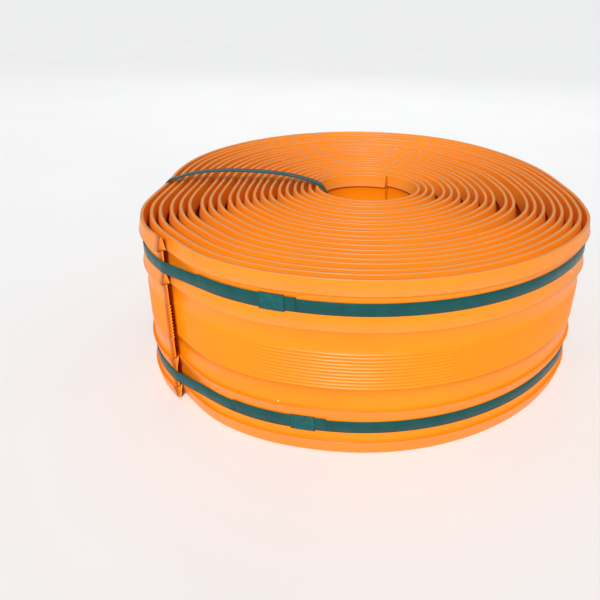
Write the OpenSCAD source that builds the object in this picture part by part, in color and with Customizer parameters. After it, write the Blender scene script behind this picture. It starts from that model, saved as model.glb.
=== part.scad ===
// A coil of ribbed PVC waterstop, the joint profile that is cast into
// concrete, strapped for storage and transport. The strip stands on edge
// and is wound as a two-centre spiral, so every half turn is a true arc.
// Two hoop straps and one tie strap through the core hold it together.
// Millimetres, +Z up, standing on z = 0.

/* [Roll] */
// Radius of the strip's mid-plane at the inner end
inner_r = 62; // [60:1:90]
// Distance between neighbouring turns
pitch = 12.85; // [12.5:0.05:16]
// Number of the last half turn, an odd number
half_turns = 41; // [5:2:45]
// Direction of the inner end, seen from above
inner_end = 54; // [20:1:160]
// Direction of the outer end, seen from above
outer_end = 225; // [200:1:240]

/* [Strip profile] */
// Width of the strip, which is the height of the roll
strip_w = 230; // [200:1:300]
// Thickness of the flat web
web_t = 3.4; // [3:0.1:4]
// Thickness of the two long edges
edge_t = 5; // [4:0.1:6]
// Height of the thin lip on each edge
lip_h = 5; // [3:1:8]
// Height that rims and ribs stand above the web, on each face
rib_h = 4.4; // [4:0.1:4.5]
// Height of the rim along each edge, with its lip
rim_h = 18; // [15:1:20]
// Distance from an edge to the far side of the inner rib
rib_at = 63; // [60:1:66]
// Width of the inner rib
rib_w = 8; // [4:1:12]

/* [Straps] */
// Width of the strapping band
strap_w = 15.5; // [12:0.5:16]
// Thickness of the strapping band
strap_t = 0.8; // [0.6:0.1:1]
// Height of the middle of the upper hoop
upper_z = 195.5; // [193:0.5:198]
// Height of the middle of the lower hoop
lower_z = 39; // [34:0.5:41]
// Direction of the tie strap, seen from above
tie_at = 181; // [170:1:190]
// Rise of the tie strap's arch over the turns
tie_rise = 16; // [8:1:20]
// Radius of the tie strap's two upper bends
tie_bend = 12; // [12:0.5:14]

/* [Seals] */
// Angle that a hoop seal covers
seal_arc = 5.4; // [4:0.1:7]
// Thickness of a seal's sheet
seal_t = 0.6; // [0.4:0.1:0.8]
// Length of the tie strap's seal
tie_seal_l = 30; // [25:1:40]

/* [Hidden] */
$fn = 200;

lift = 1.3;          // air between the web and a hoop
ease = 0.15;         // air between a strap and its seal
rib_air = 0.5;       // air between the outer ribs and the tie strap
core_air = 1.7;      // the same on the core's hollow wall, at the band's middle
notch_d = 1.2;       // channel that the tie strap has pressed in
notch_w = strap_w + 2;
seal_lip = 4.5;      // part of a seal folded in behind the strap
edge_bend = 4;       // tie strap's bends round the lower edges
tail_drop = 0.7;     // how far a free tail has slipped down
tail_share = 0.4;    // part of the straight run that a hoop's tail also covers
hoop_step = 2;       // angle between a hoop's corners

// Seal and overlap places, as angles round the roll
upper_seal_at = 252;
lower_seal_at = 258;
tail_past_seal = 3;
tie_tail = 54;       // length of the tie strap's own overlap

rib_face = web_t / 2 + rib_h;
mid_z = strip_w / 2;

// The winding. Even half turns bow towards +Y and odd ones towards -Y, each
// about its own centre on the X axis, so that they meet in line.
function half_r(k) = inner_r + k * pitch / 2;
function half_c(k) = [(k % 2 == 0 ? -1 : 1) * pitch / 4, 0];
function dir(a) = [cos(a), sin(a)];

// The middle of the winding's outline, which is moved onto the Z axis
outline_mid = [-pitch / 4, pitch / 4];

// One quarter of the profile, from an edge to the middle: [out, down]
quarter = [
    [edge_t / 2, 0],
    [edge_t / 2, lip_h],
    [rib_face, lip_h],
    [rib_face, rim_h],
    [web_t / 2, rim_h],
    [web_t / 2, rib_at - rib_w],
    [rib_face, rib_at - rib_w],
    [rib_face, rib_at],
    [web_t / 2, rib_at]];
last = len(quarter) - 1;
profile = concat(
    [for (i = [0:last]) [quarter[i][0], strip_w - quarter[i][1]]],
    [for (i = [last:-1:0]) [quarter[i][0], quarter[i][1]]],
    [for (i = [0:last]) [-quarter[i][0], quarter[i][1]]],
    [for (i = [last:-1:0]) [-quarter[i][0], strip_w - quarter[i][1]]]);

// Moves its children from the winding's axis to the part's own axis
module centred() {
    translate([-outline_mid[0], -outline_mid[1], 0]) children();
}

// Half turns struck from one centre, over one range of angles
module half_turns_of(numbers, from, to) {
    translate(concat(half_c(numbers[0]), 0))
        rotate_extrude(angle = to - from, start = from)
            for (k = numbers) translate([half_r(k), 0]) polygon(profile);
}

module waterstop_strip() color([0.96, 0.55, 0.12]) difference() {
    centred() {
        half_turns_of([for (k = [2:2:half_turns]) k], 0, 180);
        half_turns_of([for (k = [1:2:half_turns - 1]) k], 180, 360);
        half_turns_of([0], inner_end, 180);
        half_turns_of([half_turns], 180, outer_end);
    }
    rotate(tie_at) translate([inner_r / 2, -notch_w / 2, -1])
        cube([half_r(half_turns), notch_w, notch_d + 1]);
}

// Hoop straps. A hoop lies on the outermost turn, leaves it at the strip's
// free end, and runs straight down to the turn beneath, where it lands.
hoop_off = web_t / 2 + lift;
odd_c = half_c(half_turns);
end_r = half_r(half_turns) + hoop_off;
side_r = half_r(half_turns - 1) + hoop_off;
land_r = half_r(half_turns - 2) + hoop_off;
land_a = outer_end + acos(land_r / end_r);

function on_arc(c, r, from, to) =
    [for (a = [from:hoop_step:to - hoop_step / 4]) c + r * dir(a)];
function end_point(out) = odd_c + (end_r + out) * dir(outer_end);
function land_point(out) = odd_c + (land_r + out) * dir(land_a);

// A hoop's closed outline from above, for a face lying out from its inner one
function hoop_loop(out) = concat(
    on_arc(odd_c, end_r + out, 180, outer_end),
    [end_point(out)],
    on_arc(odd_c, land_r + out, land_a, 360),
    on_arc(half_c(half_turns - 1), side_r + out, 0, 180));

// The free tail's face, from the straight run to a number of steps past it
function tail_face(out, steps) = concat(
    [(1 - tail_share) * land_point(out) + tail_share * end_point(out)],
    [for (i = [0:steps]) odd_c + (land_r + out) * dir(land_a + i * hoop_step)]);

module hoop(z, seal_at) {
    steps = round((seal_at + seal_arc / 2 + tail_past_seal - land_a) / hoop_step);
    centred() {
        translate([0, 0, z - strap_w / 2]) linear_extrude(strap_w) difference() {
            polygon(hoop_loop(strap_t));
            polygon(hoop_loop(0));
        }
        // the free tail, a second layer on the first
        translate([0, 0, z - strap_w / 2 - tail_drop]) linear_extrude(strap_w)
            polygon(concat(
                tail_face(strap_t, steps),
                [for (i = [steps + 1:-1:0]) tail_face(2 * strap_t, steps)[i]]));
    }
}

module upper_hoop_strap() color([0, 0.36, 0.35]) hoop(upper_z, upper_seal_at);

module lower_hoop_strap() color([0, 0.36, 0.35]) hoop(lower_z, lower_seal_at);

// An open seal folded round both layers of a hoop
module hoop_seal(z, at) {
    from = at - seal_arc / 2;
    inside = land_r - ease;
    outside = land_r + 2 * strap_t + ease;
    low = z - strap_w / 2 - tail_drop - ease;
    high = z + strap_w / 2 + ease;
    h = high - low;
    centred() translate(concat(odd_c, 0))
        rotate_extrude(angle = seal_arc, start = from) difference() {
            translate([inside - seal_t, low - seal_t])
                square([outside - inside + 2 * seal_t, h + 2 * seal_t]);
            translate([inside, low]) square([outside - inside, h]);
            translate([inside - 2 * seal_t, low + seal_lip])
                square([3 * seal_t, h - 2 * seal_lip]);
        }
}

module upper_hoop_seal() color([0.06, 0.42, 0.42]) hoop_seal(upper_z, upper_seal_at);

module lower_hoop_seal() color([0.06, 0.42, 0.42]) hoop_seal(lower_z, lower_seal_at);

// Tie strap, drawn in its own upright plane: s outward, z up. Its inner
// face runs up the core's wall, over the turns in a flat arch, down the
// outside over the ribs, and back through the channel underneath.
function reach(c, r, a) =
    let (d = dir(a), q = c - outline_mid, along = q * d)
    along + sqrt(pow(r, 2) - q * q + pow(along, 2));
tie_in = reach(half_c(1), half_r(1), tie_at) - rib_face - core_air;
tie_out = reach(odd_c, half_r(half_turns), tie_at) + rib_face + rib_air;
bend_z = strip_w - 8;
under_z = ease + strap_t;
span = tie_out - tie_in;

// The arch's slope at its ends, found from its rise
arch_slope = 2 * atan(tie_rise / (span / 2 - tie_bend));
arch_r = (span / 2 - tie_bend * (1 - sin(arch_slope))) / sin(arch_slope);
arch_z = bend_z - (arch_r - tie_bend) * cos(arch_slope);

function arc_points(c, r, from, to, first, n) =
    [for (i = [first:n]) c + r * dir(from + (to - from) * i / n)];

// The tie strap's closed loop as [s, z], for a face lying out from its inner one
function tie_loop(out) =
    let (low = under_z + edge_bend, a = arch_slope, in_s = tie_in + tie_bend)
    concat(
        arc_points([tie_out - edge_bend, low], edge_bend + out, -90, 0, 0, 6),
        arc_points([tie_out - tie_bend, bend_z], tie_bend + out, 0, 90 - a, 0, 8),
        arc_points([tie_in + span / 2, arch_z], arch_r + out, 90 - a, 90 + a, 1, 16),
        arc_points([in_s, bend_z], tie_bend + out, 90 + a, 180, 1, 8),
        arc_points([tie_in + edge_bend, low], edge_bend + out, 180, 270, 0, 6));

module tie_strap() color([0, 0.36, 0.35]) rotate(tie_at)
    rotate([90, 0, 0]) linear_extrude(strap_w, center = true) {
        difference() {
            polygon(tie_loop(strap_t));
            polygon(tie_loop(0));
        }
        // the free tail, a second layer on the first
        translate([tie_out + strap_t, mid_z - tie_tail / 2]) square([strap_t, tie_tail]);
    }

module tie_strap_seal() color([0.06, 0.42, 0.42]) rotate(tie_at)
    translate([tie_out, 0, mid_z - tie_seal_l / 2]) linear_extrude(tie_seal_l)
        difference() {
            half = strap_w / 2 + ease;
            depth = 2 * strap_t + ease;
            translate([-ease - seal_t, -half - seal_t])
                square([depth + ease + 2 * seal_t, 2 * (half + seal_t)]);
            translate([-ease, -half]) square([depth + ease, 2 * half]);
            translate([-ease - 2 * seal_t, seal_lip - half])
                square([3 * seal_t, 2 * (half - seal_lip)]);
        }

waterstop_strip();
upper_hoop_strap();
upper_hoop_seal();
lower_hoop_strap();
lower_hoop_seal();
tie_strap();
tie_strap_seal();
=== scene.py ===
"""A coil of ribbed PVC waterstop strip, strapped for storage, on a pale floor.

The CAD solids are plain, so each one is replaced here by a detailed mesh of the
same width and within the same box: the strip with its bevelled rims, undercut
ribs and fine ridges, wound as unevenly as a real coil, and the straps and seals
that lie on it.
"""

import math

import bmesh
import bpy
import numpy as np
from mathutils import Matrix, Vector


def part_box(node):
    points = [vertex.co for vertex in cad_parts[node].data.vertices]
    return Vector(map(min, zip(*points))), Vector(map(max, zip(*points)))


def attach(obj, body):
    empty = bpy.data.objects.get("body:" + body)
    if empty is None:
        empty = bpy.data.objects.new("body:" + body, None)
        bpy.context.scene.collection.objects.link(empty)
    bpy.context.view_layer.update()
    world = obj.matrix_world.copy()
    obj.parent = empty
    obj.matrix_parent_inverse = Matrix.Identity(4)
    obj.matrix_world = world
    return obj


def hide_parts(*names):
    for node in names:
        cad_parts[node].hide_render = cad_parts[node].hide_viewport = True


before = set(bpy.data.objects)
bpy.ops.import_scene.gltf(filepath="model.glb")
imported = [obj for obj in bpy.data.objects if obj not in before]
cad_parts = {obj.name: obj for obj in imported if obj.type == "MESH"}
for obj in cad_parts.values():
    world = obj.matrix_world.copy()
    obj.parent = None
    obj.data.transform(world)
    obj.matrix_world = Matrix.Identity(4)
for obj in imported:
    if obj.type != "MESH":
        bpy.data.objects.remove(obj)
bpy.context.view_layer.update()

MM = 0.001

# ---------------------------------------------------------------- the winding

strip_lo, strip_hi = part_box("waterstop_strip")
WIDTH = strip_hi.z - strip_lo.z

# A place along the strip is counted in turns, so its part after the point is
# also its direction from above, from +X round to +Y.
INNER_END = 54 / 360
OUTER_END = 20 + 223 / 360
TURNS = OUTER_END - INNER_END

# The core: an oval hole, a little in front of the roll's middle
CORE_MID = np.array([-4.5, -10.3]) * MM
CORE_HALF = np.array([67.5, 56]) * MM

# How far the roll's +X side flares outward at the top, as a slope
FLARE = 0.032

# The roll's outline from above as (direction in degrees, radius in mm). It is
# pulled in at 183 degrees, where the tie strap crosses it.
OUTLINE = [
    (6, 303), (20, 306), (40, 315), (62, 331), (92, 336), (128, 328), (156, 315),
    (174, 302), (183, 297), (192, 306), (202, 320), (213, 328), (225, 328), (236, 331),
    (246, 329), (258, 324), (272, 321), (297, 318), (320, 319), (338, 321), (352, 311)]

# Loose places as (turn, direction in degrees, extra gap in mm, reach in degrees)
LOOSE = [
    (4, 2, 5.5, 34), (7, -4, 3.5, 30), (9, 0, 3.0, 36), (11, 6, 7.0, 38), (13, 2, 7.0, 40),
    (16, 8, 3.5, 36), (6, 205, 2.0, 30), (12, 210, 3.0, 34), (15, 204, 4.5, 30),
    (18, 214, 2.0, 30), (8, 95, 2.5, 40), (14, 70, 3.0, 40), (19, 60, 5.0, 34),
    (5, 262, 2.5, 26), (12, 285, 3.0, 30), (17, 250, 2.5, 26)]

UNEVEN = 0.6 * MM           # how far the turns wander in and out
LEAN = 0.006                # how far they lean in and out, as a slope
RIDE = 1.0 * MM             # how far they stand off the floor, on average
SETTLE = 0.9                # turns over which the outer end comes down to the floor
FREE_LIFT = 3.0 * MM        # how far the free end's tip stands off the floor
FREE_REACH = 0.06           # turns over which it rises
OVER_TIE = 1.3 * MM         # how far the tie strap beneath lifts the turns
OVER_TIE_REACH = 14 * MM    # how far to each side of it that lift spreads

# The tie strap's upright plane: its direction out of the core, and across that
TIE_AT = math.radians(181)
TIE_WAY = np.array([math.cos(TIE_AT), math.sin(TIE_AT)])
TIE_SIDE = np.array([-TIE_WAY[1], TIE_WAY[0]])


def direction(turn):
    """The unit vector from the roll's middle towards a place, from above."""
    angle = 2 * math.pi * np.asarray(turn, float)
    return np.stack([np.cos(angle), np.sin(angle)], axis=-1)


def periodic(points, degrees):
    """A smooth closed curve through (degrees, value) points."""
    at = np.array([p[0] for p in points], float)
    value = np.array([p[1] for p in points], float)
    at = np.concatenate([at - 360, at, at + 360])
    value = np.tile(value, 3)
    slope = np.gradient(value, at)
    x = np.mod(degrees, 360)
    i = np.clip(np.searchsorted(at, x) - 1, 0, len(at) - 2)
    h = at[i + 1] - at[i]
    t = (x - at[i]) / h
    return (
        (2 * t**3 - 3 * t**2 + 1) * value[i] + (t**3 - 2 * t**2 + t) * h * slope[i]
        + (3 * t**2 - 2 * t**3) * value[i + 1] + (t**3 - t**2) * h * slope[i + 1])


def wander(turn, seed):
    """Smooth unevenness from -1 to 1 that differs from one turn to the next."""
    total = np.zeros_like(np.asarray(turn, float))
    for i, (rate, weight) in enumerate([(0.37, 0.4), (1.43, 0.35), (2.29, 0.25)]):
        total = total + weight * np.sin(2 * math.pi * rate * turn + seed * (1.7 + i))
    return total


def core_radius(way):
    """The radius of the core's oval in the directions given as unit vectors."""
    square = ((way / CORE_HALF) ** 2).sum(axis=-1)
    cross = (way * CORE_MID / CORE_HALF**2).sum(axis=-1)
    rest = ((CORE_MID / CORE_HALF) ** 2).sum() - 1
    return (cross + np.sqrt(cross**2 - square * rest)) / square


def radius(turn):
    """The strip's mid-plane radius at a place along it, in turns."""
    turn = np.asarray(turn, float)
    share = (turn - INNER_END) / TURNS
    degrees = 360 * turn
    core = core_radius(direction(turn))
    r = core + (periodic(OUTLINE, degrees) * MM - core) * share
    for number, at, extra, reach in LOOSE:
        away = (degrees - at + 180) % 360 - 180
        bump = np.exp(-0.5 * (away / reach) ** 2)
        beyond = turn > number + (at - 180) / 360
        r = r + extra * MM * bump * (beyond - share)
    return r + UNEVEN * wander(turn, 2.1)


def middle(turn):
    """The point of the strip's mid-plane at a place along it, from above."""
    return direction(turn) * radius(turn)[..., None]


def outward(turn):
    """The unit vector out of the strip's outer face, from above."""
    step = 1e-4
    run = middle(turn + step) - middle(turn - step)
    run = run / np.linalg.norm(run, axis=-1, keepdims=True)
    return np.stack([run[..., 1], -run[..., 0]], axis=-1)


def from_tie(turn):
    """A place's distances from the core's middle, along the tie strap and beside it."""
    off = middle(turn) - CORE_MID
    return off @ TIE_WAY, off @ TIE_SIDE


def lift(turn):
    """How far the strip's lower edge stands off the floor."""
    ride = RIDE * (1 + wander(turn, 5.3))
    settled = np.clip((OUTER_END - turn) / SETTLE, 0, 1) ** 0.5
    raised = FREE_LIFT * np.clip(1 - (OUTER_END - turn) / FREE_REACH, 0, 1) ** 2
    along, beside = from_tie(turn)
    on_tie = (along > 0) * np.exp(-0.5 * (beside / OVER_TIE_REACH) ** 2)
    return ride * settled + raised + OVER_TIE * on_tie


def section_shift(turn, height):
    """How far out each height of the strip's section stands from its mid-plane."""
    flare = FLARE * np.maximum(direction(turn)[..., 0], 0) ** 2
    return (LEAN * wander(turn, 8.2) + flare) * (height - WIDTH / 2)


# ---------------------------------------------------------------- the profile

WEB = 1.7 * MM          # half the flat web's thickness
EDGE = 2.1 * MM         # half the thickness of the long edges
TIP = 5.4 * MM          # from the mid-plane to the tip of a rim or rib
RIM_TIP = 18 * MM       # from an edge to the tip of its rim
RIB_TIP = 62 * MM       # from an edge to the tip of its inner rib
RIB_FOOT = 48 * MM      # from an edge to where the inner rib starts to rise
RIDGES = 11             # number of fine raised lines along the middle of the web
RIDGE_STEP = 4.5 * MM
RIDGE_H = 1.3 * MM
RIDGE_FOOT = 1.45 * MM  # half a ridge's width at its foot
RIDGE_TOP = 0.75 * MM   # half its width just below its top


def barb(foot, foot_out, tip):
    """A slope from its foot up to a rounded tip, and the undercut behind it."""
    return [
        (foot_out, foot), (TIP - 0.25 * MM, tip - 0.9 * MM), (TIP, tip),
        (TIP - 0.5 * MM, tip + 0.35 * MM), (WEB + 1.1 * MM, tip - 1.1 * MM),
        (WEB + 0.3 * MM, tip - 1.3 * MM), (WEB, tip - 0.7 * MM)]


def half_side():
    """One face from an edge to the middle, as (out, distance from the edge)."""
    points = [(EDGE - 0.6 * MM, 0), (EDGE, 0.7 * MM)]
    points += barb(1.2 * MM, EDGE + 0.1 * MM, RIM_TIP)
    points += [(WEB, 35 * MM), (WEB, RIB_FOOT - 1.5 * MM)]
    points += barb(RIB_FOOT, WEB + 0.3 * MM, RIB_TIP)
    points += [(WEB, 78 * MM)]
    return points


def ridge_points():
    """The fine ridges, as (out, height above the strip's middle), from the top."""
    points = []
    for i in range(RIDGES):
        mid = ((RIDGES - 1) / 2 - i) * RIDGE_STEP
        points += [
            (WEB, mid + RIDGE_FOOT), (WEB + 0.8 * RIDGE_H, mid + RIDGE_TOP),
            (WEB + RIDGE_H, mid), (WEB + 0.8 * RIDGE_H, mid - RIDGE_TOP),
            (WEB, mid - RIDGE_FOOT)]
    return points


def profile():
    """One face of the strip as (out, height), from the top edge to the bottom."""
    upper = [(out, WIDTH - down) for out, down in half_side()]
    ridges = [(out, WIDTH / 2 + z) for out, z in ridge_points()]
    lower = [(out, down) for out, down in reversed(half_side())]
    return np.array(upper + ridges + lower)


def strip_places():
    """Where the strip's cross-sections stand: closest on the turns that show."""
    fine = 1 / 180
    coarse = 1 / 100
    inner = np.arange(INNER_END, INNER_END + 1.1, fine)
    outer = np.arange(OUTER_END - 1.15, OUTER_END, fine)
    between = np.arange(inner[-1] + coarse, outer[0], coarse)
    return np.concatenate([inner, between, outer, [OUTER_END]])


SAME_POINT = 0.001 * MM     # points closer than this are merged


def clean_skin(mesh):
    """Merges a mesh's doubled points and turns all its faces outward."""
    skin = bmesh.new()
    skin.from_mesh(mesh)
    bmesh.ops.remove_doubles(skin, verts=skin.verts, dist=SAME_POINT)
    bmesh.ops.recalc_face_normals(skin, faces=skin.faces)
    skin.to_mesh(mesh)
    skin.free()


def new_mesh(name, vertices, faces, clean=True):
    mesh = bpy.data.meshes.new(name)
    mesh.from_pydata([tuple(v) for v in vertices], [], faces)
    if clean:
        clean_skin(mesh)
    mesh.validate()
    mesh.update()
    mesh.polygons.foreach_set("use_smooth", [True] * len(mesh.polygons))
    piece = bpy.data.objects.new(name, mesh)
    bpy.context.scene.collection.objects.link(piece)
    return piece


def loft(rings, closed=False):
    """Joins rings with equal numbers of points into one skin."""
    count, size = len(rings), len(rings[0])
    faces = []
    last = count if closed else count - 1
    for i in range(last):
        a, b = i * size, ((i + 1) % count) * size
        for j in range(size):
            k = (j + 1) % size
            faces.append((a + j, a + k, b + k, b + j))
    return np.concatenate(rings), faces


def end_cap(start, size, flip):
    """Quads that close a ring whose second half runs back beside its first."""
    faces = []
    for j in range(size // 2 - 1):
        quad = (start + j, start + j + 1, start + size - 2 - j, start + size - 1 - j)
        faces.append(quad[::-1] if flip else quad)
    return faces


def capped_loft(rings):
    """A loft with both ends closed."""
    vertices, faces = loft(rings)
    size = len(rings[0])
    faces += end_cap(0, size, False)
    faces += end_cap((len(rings) - 1) * size, size, True)
    return vertices, faces


# How much tan scuff colour and painted sheen the strip's points get, from 0 to 1
TIP_SCUFF_AND_SHEEN = 0.6
TIP_REACH = 0.4 * MM      # how far below a tip they start
EDGE_REACH = 1.3 * MM     # how far from a long edge they fade out


def make_strip():
    side = profile()
    out = np.concatenate([side[:, 0], -side[::-1, 0]])
    height = np.concatenate([side[:, 1], side[::-1, 1]])
    places = strip_places()
    rings = []
    for turn, mid, way, up in zip(places, middle(places), outward(places), lift(places)):
        off = out + section_shift(turn, height)
        rings.append(np.column_stack([
            mid[0] + way[0] * off, mid[1] + way[1] * off, height + up]))
    piece = new_mesh("ribbed_strip", *capped_loft(rings), clean=False)
    # tan scuffs and a painted sheen on the tips of the rims and ribs and along the long
    # edges
    scuff_and_sheen = np.where(np.abs(out) > TIP - TIP_REACH, TIP_SCUFF_AND_SHEEN, 0.0)
    to_edge = np.minimum(height, WIDTH - height)
    scuff_and_sheen = np.maximum(scuff_and_sheen, np.clip(1 - to_edge / EDGE_REACH, 0, 1))
    layer = piece.data.attributes.new("scuff_and_sheen", "FLOAT", "POINT")
    layer.data.foreach_set("value", np.tile(scuff_and_sheen, len(rings)).astype(np.float32))
    return piece


# ------------------------------------------------------------ straps and seals

STRAP_W = 16.0 * MM
STRAP_T = 0.8 * MM
STRAP_ROUND = 0.22 * MM       # how far a strap's corners are eased
HOOP_OFF = WEB + 0.25 * MM    # from the strip's mid-plane to a hoop's inner face
UPPER_Z = 195.5 * MM
LOWER_Z = 39 * MM
LAND_AT = OUTER_END - 1 + 13.2 / 360     # where a hoop lands on the turn beneath
UPPER_SEAL = OUTER_END - 1 + 28.7 / 360
LOWER_SEAL = OUTER_END - 1 + 34.5 / 360
TAIL_RISE = 2.2 * MM      # how far a hoop's tail lies above its first layer
TAIL_PAST = 5 / 360       # how far it reaches past the middle of its seal

SEAL_T = 0.6 * MM         # thickness of a seal's sheet
SEAL_LIP = 4.5 * MM       # part of it that is folded in behind the strap
SEAL_AIR = 0.15 * MM      # air between the strap and the seal
SEAL_ROUND = 0.3 * MM
SEAL_BACK = -0.1 * MM     # the seal's inner faces, behind and in front of the strap
SEAL_FRONT = 2 * STRAP_T + SEAL_AIR
SEAL_ARC = 5.2 / 360      # how much of a turn a hoop's seal covers
SEAL_STEPS = 14
CRIMP = 0.25 * MM         # depth of a seal's crimped waists

TIE_SEAL_L = 30 * MM
TIE_TAIL_L = 54 * MM
TIE_TAIL_STEPS = 8


def band_section():
    """A strap's section with eased corners, as (out, along its width)."""
    w, t, r = STRAP_W / 2, STRAP_T, STRAP_ROUND
    return [
        (t, -w + r), (t, 0), (t, w - r), (t - r, w), (r, w), (0, w - r), (0, 0),
        (0, -w + r), (r, -w), (t - r, -w)]


def strap_places(start, stop):
    """Where a hoop's cross-sections stand."""
    return np.append(np.arange(start, stop, 1 / 240), stop)


def hoop_route(offset, z, places):
    """Points at a distance from the strip's mid-plane, and the ways out of it."""
    ways = outward(places)
    off = offset + section_shift(places, z)
    return middle(places) + ways * off[:, None], ways


def ring_at(point, way, z, section):
    return np.array([
        (point[0] + way[0] * out, point[1] + way[1] * out, z + across)
        for out, across in section])


def banded(rings, tail):
    """A closed band, and its free tail as a second skin in the same mesh."""
    vertices, faces = loft(rings, closed=True)
    more, more_faces = loft(tail)
    size = len(tail[0])
    last = (len(tail) - 1) * size
    more_faces.append(tuple(range(size))[::-1])
    more_faces.append(tuple(range(last, last + size)))
    base = len(vertices)
    faces += [tuple(base + i for i in face) for face in more_faces]
    return np.concatenate([vertices, more]), faces


def make_hoop(name, z, tail_on_run, tail_from, seal_at):
    """A closed hoop, and the free tail lying on it as a second layer.

    The tail covers the last share, tail_on_run, of the hoop's straight run, and goes
    on from the place tail_from on the turn beneath to a little past the seal.
    """
    section = band_section()
    points, ways = hoop_route(HOOP_OFF, z, strap_places(LAND_AT, OUTER_END))
    # the straight run, from the strip's free end to the turn beneath
    run = points[0] - points[-1]
    run_way = np.array([run[1], -run[0]]) / np.linalg.norm(run)
    run_points = [points[-1] + run * i / 6 for i in range(1, 6)]
    points = np.concatenate([points, run_points])
    ways = np.concatenate([ways, np.tile(run_way, (len(run_points), 1))])
    rings = [ring_at(p, w, z, section) for p, w in zip(points, ways)]
    places = strap_places(tail_from, seal_at + TAIL_PAST)
    points, ways = hoop_route(HOOP_OFF + STRAP_T, z, places)
    if tail_on_run > 0:
        lead = [points[0] - run * tail_on_run * (1 - i / 4) for i in range(4)]
        points = np.concatenate([lead, points])
        ways = np.concatenate([np.tile(run_way, (len(lead), 1)), ways])
    tail = [ring_at(p, w, z + TAIL_RISE, section) for p, w in zip(points, ways)]
    return new_mesh(name, *banded(rings, tail))


def seal_section(low, high, on_front):
    """A sheet folded round both layers of a strap, as a ring of (out, across)."""
    face = SEAL_FRONT + SEAL_T
    outer = [
        (SEAL_BACK - SEAL_T, low + SEAL_LIP), (SEAL_BACK - SEAL_T, low),
        (SEAL_BACK, low - SEAL_T), (SEAL_FRONT + SEAL_ROUND, low - SEAL_T), (face, low)]
    outer += [(face, across) for across in on_front]
    outer += [
        (face, high), (SEAL_FRONT + SEAL_ROUND, high + SEAL_T), (SEAL_BACK, high + SEAL_T),
        (SEAL_BACK - SEAL_T, high), (SEAL_BACK - SEAL_T, high - SEAL_LIP)]
    # each outer point has an inner one beside it, so two share each inner corner
    inner = [
        (SEAL_BACK, high - SEAL_LIP), (SEAL_BACK, high), (SEAL_BACK, high),
        (SEAL_FRONT, high), (SEAL_FRONT, high)]
    inner += [(SEAL_FRONT, across) for across in reversed(on_front)]
    inner += [
        (SEAL_FRONT, low), (SEAL_FRONT, low), (SEAL_BACK, low), (SEAL_BACK, low),
        (SEAL_BACK, low + SEAL_LIP)]
    return outer + inner


def crimped(section, share):
    """The section at a share of a seal's length, which has three crimped waists."""
    depth = CRIMP * math.sin(math.pi * 3 * share) ** 2
    return [(out - depth if out > SEAL_FRONT else out, across) for out, across in section]


def make_hoop_seal(name, z, at):
    low = -STRAP_W / 2 - SEAL_AIR
    high = STRAP_W / 2 + TAIL_RISE + SEAL_AIR
    section = seal_section(low, high, [low / 2, 0, high / 2])
    places = np.linspace(at - SEAL_ARC / 2, at + SEAL_ARC / 2, SEAL_STEPS + 1)
    points, ways = hoop_route(HOOP_OFF, z, places)
    rings = [
        ring_at(p, w, z, crimped(section, i / SEAL_STEPS))
        for i, (p, w) in enumerate(zip(points, ways))]
    return new_mesh(name, *capped_loft(rings))


def crossing(turn):
    """How far from the core's middle the tie strap meets a turn."""
    along, beside = from_tie(turn + np.linspace(-0.06, 0.06, 241))
    return float(along[np.argmin(np.abs(beside))])


# The tie strap's arch over the turns, as (share of the way in from the outer edge,
# height in mm above the turns' upper edges)
ARCH = [
    (0, 2.4), (0.05, 6), (0.13, 12), (0.24, 17), (0.36, 19.5), (0.48, 20), (0.6, 19.5),
    (0.72, 17.5), (0.82, 14.5), (0.9, 10.5), (0.96, 6.5), (1, 3)]


def tie_route():
    """The tie strap's inner face as (s, z): a closed loop round the turns."""
    first = crossing(0.5) - TIP - 1.6 * MM      # at the core's wall
    last = crossing(20.5) + TIP + 0.3 * MM      # at the outermost turn
    under = STRAP_T + 0.3 * MM
    points = [(first + 9 * MM, under), (first + 40 * MM, under), (last - 40 * MM, under)]
    points += [(last - 9 * MM, under), (last - 2 * MM, 3 * MM), (last, 9 * MM)]
    points += [(last, z * MM) for z in (30, 60, 120, 170, 208)]
    points += [(last - 0.8 * MM, 220 * MM), (last - 2.4 * MM, 228 * MM)]
    start, stop = last - 6 * MM, first + 6 * MM
    points += [(start + (stop - start) * t, WIDTH + high * MM) for t, high in ARCH]
    # it sags into the core a little before it runs down the wall
    points += [(first - 1 * MM, 227 * MM), (first - 7 * MM, 215 * MM)]
    points += [(first - 10 * MM, 195 * MM), (first - 9 * MM, 150 * MM)]
    points += [(first - 6 * MM, 90 * MM), (first - 2 * MM, 40 * MM), (first, 9 * MM)]
    points += [(first + 2 * MM, 3 * MM)]
    return points


def smooth_loop(points, per_span=6):
    """A smooth closed curve through the points."""
    pts = [Vector(p) for p in points]
    n = len(pts)
    curve = []
    for i in range(n):
        a, b, c, d = pts[i - 1], pts[i], pts[(i + 1) % n], pts[(i + 2) % n]
        size = (c - b).length
        m0 = (c - a).normalized() * size
        m1 = (d - b).normalized() * size
        for k in range(per_span):
            t = k / per_span
            curve.append(
                b * (2 * t**3 - 3 * t**2 + 1) + m0 * (t**3 - 2 * t**2 + t)
                + c * (3 * t**2 - 2 * t**3) + m1 * (t**3 - t**2))
    return curve


def tie_ring(s, z, normal, section):
    """A section set across the tie strap's plane, at (s, z) in it."""
    ring = []
    for out, across in section:
        place = CORE_MID + TIE_WAY * (s + normal.x * out) + TIE_SIDE * across
        ring.append((*place, z + normal.y * out))
    return np.array(ring)


def side_heights(length, steps):
    """Heights on the tie strap's outer run, over a length about its middle."""
    return [WIDTH / 2 + (k / steps - 0.5) * length for k in range(steps + 1)]


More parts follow.
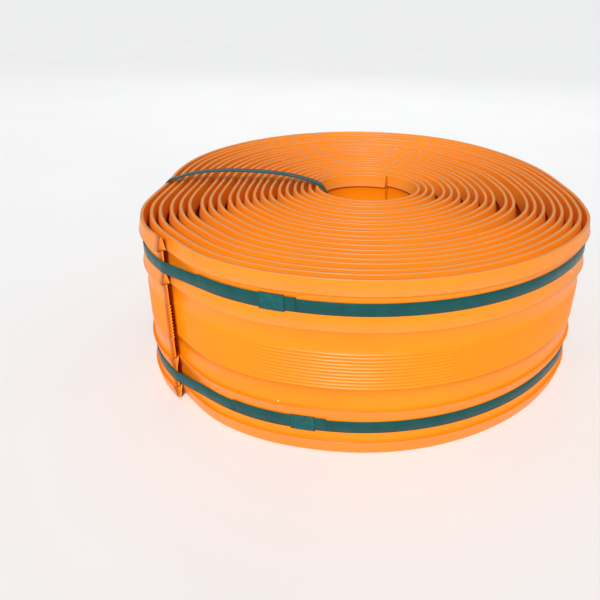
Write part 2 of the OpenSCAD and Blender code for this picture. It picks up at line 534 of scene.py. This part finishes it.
def make_tie(name):
    """The tie strap with its free tail, and how far out the strap's inner face is."""
    section = band_section()
    curve = smooth_loop(tie_route())
    rings = []
    for i, point in enumerate(curve):
        run = (curve[(i + 1) % len(curve)] - curve[i - 1]).normalized()
        rings.append(tie_ring(point.x, point.y, Vector((run.y, -run.x)), section))
    face = max(point.x for point in curve)
    tail = [
        tie_ring(face + STRAP_T, z, Vector((1, 0)), section)
        for z in side_heights(TIE_TAIL_L, TIE_TAIL_STEPS)]
    return new_mesh(name, *banded(rings, tail)), face


def make_tie_seal(name, face):
    half = STRAP_W / 2 + SEAL_AIR
    section = seal_section(-half, half, [0])
    rings = [
        tie_ring(face, z, Vector((1, 0)), crimped(section, k / SEAL_STEPS))
        for k, z in enumerate(side_heights(TIE_SEAL_L, SEAL_STEPS))]
    return new_mesh(name, *capped_loft(rings))


# ------------------------------------------------------------------- materials


class Nodes:
    """A short way to build a material's node tree."""

    def __init__(self, name):
        self.material = bpy.data.materials.new(name)
        self.material.use_nodes = True
        self.tree = self.material.node_tree
        self.shader = self.tree.nodes["Principled BSDF"]
        self.coords = self.add("ShaderNodeTexCoord").outputs["Object"]

    def add(self, kind, **settings):
        node = self.tree.nodes.new(kind)
        for key, value in settings.items():
            setattr(node, key, value)
        return node

    def feed(self, socket, value):
        """Sets a socket to a colour or a number, or links another node's output to it."""
        if isinstance(value, tuple):
            socket.default_value = (*value, 1)
        elif isinstance(value, (float, int)):
            socket.default_value = value
        else:
            self.tree.links.new(value, socket)

    def noise(self, scale, detail, stretch=None):
        node = self.add("ShaderNodeTexNoise")
        node.inputs["Scale"].default_value = scale
        node.inputs["Detail"].default_value = detail
        vector = self.coords
        if stretch:
            mapping = self.add("ShaderNodeMapping")
            mapping.inputs["Scale"].default_value = stretch
            self.feed(mapping.inputs["Vector"], vector)
            vector = mapping.outputs["Vector"]
        self.feed(node.inputs["Vector"], vector)
        return node.outputs["Fac"]

    def cells(self, scale, randomness=1.0, **settings):
        node = self.add("ShaderNodeTexVoronoi", feature="F1", **settings)
        node.inputs["Scale"].default_value = scale
        node.inputs["Randomness"].default_value = randomness
        self.feed(node.inputs["Vector"], self.coords)
        return node

    def ramp(self, source, low, low_color, high, high_color):
        node = self.add("ShaderNodeValToRGB")
        first, last = node.color_ramp.elements
        first.position, last.position = low, high
        first.color, last.color = (*low_color, 1), (*high_color, 1)
        self.feed(node.inputs["Fac"], source)
        return node.outputs["Color"]

    def spread(self, source, low, high, out_low, out_high):
        """Maps low to high of the source onto out_low to out_high."""
        node = self.add("ShaderNodeMapRange")
        sockets = ("Value", "From Min", "From Max", "To Min", "To Max")
        for key, value in zip(sockets, (source, low, high, out_low, out_high)):
            self.feed(node.inputs[key], value)
        return node.outputs["Result"]

    def mix(self, factor, a, b):
        """Mixes two colours."""
        node = self.add("ShaderNodeMix", data_type="RGBA")
        factor_socket, a_socket, b_socket = 0, 6, 7
        for socket, value in ((factor_socket, factor), (a_socket, a), (b_socket, b)):
            self.feed(node.inputs[socket], value)
        return node.outputs[2]

    def math(self, operation, a, b):
        node = self.add("ShaderNodeMath", operation=operation)
        self.feed(node.inputs[0], a)
        self.feed(node.inputs[1], b)
        return node.outputs[0]

    def bump(self, height, distance, strength, before=None):
        node = self.add("ShaderNodeBump")
        node.inputs["Distance"].default_value = distance
        node.inputs["Strength"].default_value = strength
        self.feed(node.inputs["Height"], height)
        if before is not None:
            self.feed(node.inputs["Normal"], before)
        return node.outputs["Normal"]

    def finish(self, color, roughness, normal=None, **uniform):
        """Fills the shader's sockets and gives back the material."""
        self.feed(self.shader.inputs["Base Color"], color)
        self.feed(self.shader.inputs["Roughness"], roughness)
        if normal is not None:
            self.feed(self.shader.inputs["Normal"], normal)
        for key, value in uniform.items():
            self.shader.inputs[key.replace("_", " ")].default_value = value
        return self.material


def pvc_material():
    n = Nodes("orange_pvc")
    scuff_and_sheen = n.add("ShaderNodeAttribute", attribute_name="scuff_and_sheen").outputs["Fac"]
    color = n.ramp(n.noise(5, 4), 0.3, (0.90, 0.228, 0.002), 0.7, (0.95, 0.268, 0.003))
    # fine streaks left by the extruder run along the strip, which stands on edge
    streaks = n.spread(n.noise(9, 3, stretch=(1, 1, 60)), 0.45, 0.75, 0, 0.16)
    color = n.mix(streaks, color, (0.80, 0.20, 0.010))
    # dull, chalky scuffs on the edges and the tips of the ribs, and a painted sheen: the
    # same tan stands in for the sky's reflection on the upturned edges
    patchy = n.spread(n.noise(38, 4), 0.35, 0.7, 0.45, 1)
    scuff_and_sheen_patches = n.math("MULTIPLY", scuff_and_sheen, patchy)
    color = n.mix(n.math("MULTIPLY", scuff_and_sheen_patches, 0.85), color, (0.52, 0.25, 0.09))
    # a few crumbs of pale dirt, in the middle of one cell in fourteen
    cells = n.cells(42)
    near = n.math("LESS_THAN", cells.outputs["Distance"], 0.045)
    split = n.add("ShaderNodeSeparateColor")
    n.feed(split.inputs["Color"], cells.outputs["Color"])
    rare = n.math("GREATER_THAN", split.outputs[0], 0.93)
    color = n.mix(n.math("MULTIPLY", near, rare), color, (1.0, 0.72, 0.30))
    rough = n.spread(n.noise(24, 5), 0.3, 0.7, 0.29, 0.4)
    rough = n.math("ADD", rough, n.math("MULTIPLY", scuff_and_sheen_patches, 0.14))
    pitted = n.bump(n.noise(700, 2), 0.0002, 0.35)
    waves = n.bump(n.noise(14, 2), 0.0016, 0.25, pitted)
    return n.finish(color, rough, waves, IOR=1.53, Specular_IOR_Level=0.28)


def strap_material():
    n = Nodes("green_pet_strap")
    color = n.ramp(n.noise(60, 4), 0.3, (0.0, 0.056, 0.057), 0.7, (0.0, 0.076, 0.075))
    # the waffle that is rolled into the band
    waffle = n.cells(620, distance="CHEBYCHEV")
    normal = n.bump(waffle.outputs["Distance"], 0.00015, 0.5)
    rough = n.spread(n.noise(80, 3), 0.3, 0.7, 0.3, 0.42)
    return n.finish(color, rough, normal, IOR=1.57, Specular_IOR_Level=0.22)


def seal_material():
    n = Nodes("green_crimp_seal")
    color = n.ramp(n.noise(180, 4), 0.35, (0.001, 0.070, 0.070), 0.65, (0.004, 0.100, 0.098))
    # painted glints: the knurl's peaks are lighter teal, as where they catch the light
    knurl = n.cells(900, randomness=0.35)
    peaks = n.spread(knurl.outputs["Distance"], 0.0, 0.45, 1.0, 0.0)
    color = n.mix(n.math("MULTIPLY", peaks, 0.35), color, (0.004, 0.18, 0.18))
    normal = n.bump(peaks, 0.0003, 0.8)
    rough = n.spread(n.noise(120, 2), 0.3, 0.7, 0.32, 0.5)
    return n.finish(color, rough, normal, IOR=1.5, Specular_IOR_Level=0.25)


def floor_material():
    n = Nodes("pale_floor")
    color = n.ramp(n.noise(3, 2), 0.3, (0.84, 0.845, 0.85), 0.7, (0.86, 0.865, 0.87))
    return n.finish(color, 0.9)


def dress(piece, material, node):
    piece.data.materials.append(material)
    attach(piece, "root")
    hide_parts(node)


# -------------------------------------------------------------- floor and light

FLOOR_HALF = 40.0             # half the floor's side, in metres
WORLD_LIGHT = 0.4
FLASH_LIGHT = 3.15
FLASH_SPREAD = math.radians(18)
FLASH_AT = (-0.15, -1.5, 1.3)
PANEL_LIGHT = 5.5             # in watts
PANEL_SIZE = (2.6, 0.9)
PANEL_AT = (0, 2.1, 1.35)


def make_floor():
    mesh = bmesh.new()
    bmesh.ops.create_grid(mesh, x_segments=8, y_segments=8, size=FLOOR_HALF)
    data = bpy.data.meshes.new("floor")
    mesh.to_mesh(data)
    mesh.free()
    floor = bpy.data.objects.new("floor", data)
    bpy.context.scene.collection.objects.link(floor)
    floor.data.materials.append(floor_material())


def place_lamp(data, place):
    """Sets up a lamp that faces the middle of the roll."""
    lamp = bpy.data.objects.new(data.name, data)
    lamp.location = place
    lamp.rotation_mode = "QUATERNION"
    away = Vector(place) - Vector((0, 0, WIDTH / 2))
    lamp.rotation_quaternion = away.to_track_quat("Z", "Y")
    bpy.context.scene.collection.objects.link(lamp)


def make_lights():
    world = bpy.data.worlds.new("studio")
    world.use_nodes = True
    background = world.node_tree.nodes["Background"]
    background.inputs["Color"].default_value = (1, 1, 1, 1)
    background.inputs["Strength"].default_value = WORLD_LIGHT
    bpy.context.scene.world = world
    flash = bpy.data.lights.new("flash", "SUN")
    flash.energy = FLASH_LIGHT
    flash.angle = FLASH_SPREAD
    place_lamp(flash, FLASH_AT)
    panel = bpy.data.lights.new("back_panel", "AREA")
    panel.shape = "RECTANGLE"
    panel.size, panel.size_y = PANEL_SIZE
    panel.energy = PANEL_LIGHT
    place_lamp(panel, PANEL_AT)


# --------------------------------------------------------------------- camera

VIEW_UP = math.radians(24.25)      # the camera's height above the horizon
VIEW_ROLL = math.radians(1.64)
VIEW_Z = 0.1299                    # height of the point that it faces
VIEW_AWAY = 0.9305                 # its distance from that point
VIEW_SHIFT = (-0.111, -0.092)
VIEW_SENSOR = 36                   # in mm, as the lens
VIEW_LENS = 35.4


def make_camera():
    data = bpy.data.cameras.new("camera")
    data.sensor_width = VIEW_SENSOR
    data.lens = VIEW_LENS
    data.shift_x, data.shift_y = VIEW_SHIFT
    data.clip_start, data.clip_end = 0.01, 50
    camera = bpy.data.objects.new("camera", data)
    back = Vector((0, -math.cos(VIEW_UP), math.sin(VIEW_UP)))
    facing = back.to_track_quat("Z", "Y").to_matrix() @ Matrix.Rotation(VIEW_ROLL, 3, "Z")
    place = Vector((0, 0, VIEW_Z)) + back * VIEW_AWAY
    camera.matrix_world = Matrix.Translation(place) @ facing.to_4x4()
    bpy.context.scene.collection.objects.link(camera)
    bpy.context.scene.camera = camera


# ----------------------------------------------------------------------- build

pvc, strap, seal = pvc_material(), strap_material(), seal_material()

dress(make_strip(), pvc, "waterstop_strip")

upper_hoop = make_hoop("upper_hoop", UPPER_Z, 0.16, LAND_AT, UPPER_SEAL)
lower_hoop = make_hoop("lower_hoop", LOWER_Z, 0, LAND_AT + 5 / 360, LOWER_SEAL)
dress(upper_hoop, strap, "upper_hoop_strap")
dress(lower_hoop, strap, "lower_hoop_strap")
dress(make_hoop_seal("upper_seal", UPPER_Z, UPPER_SEAL), seal, "upper_hoop_seal")
dress(make_hoop_seal("lower_seal", LOWER_Z, LOWER_SEAL), seal, "lower_hoop_seal")

tie, tie_face = make_tie("tie_band")
dress(tie, strap, "tie_strap")
dress(make_tie_seal("tie_seal", tie_face), seal, "tie_strap_seal")

make_floor()
make_lights()
make_camera()
bpy.context.scene.view_settings.view_transform = "Standard"
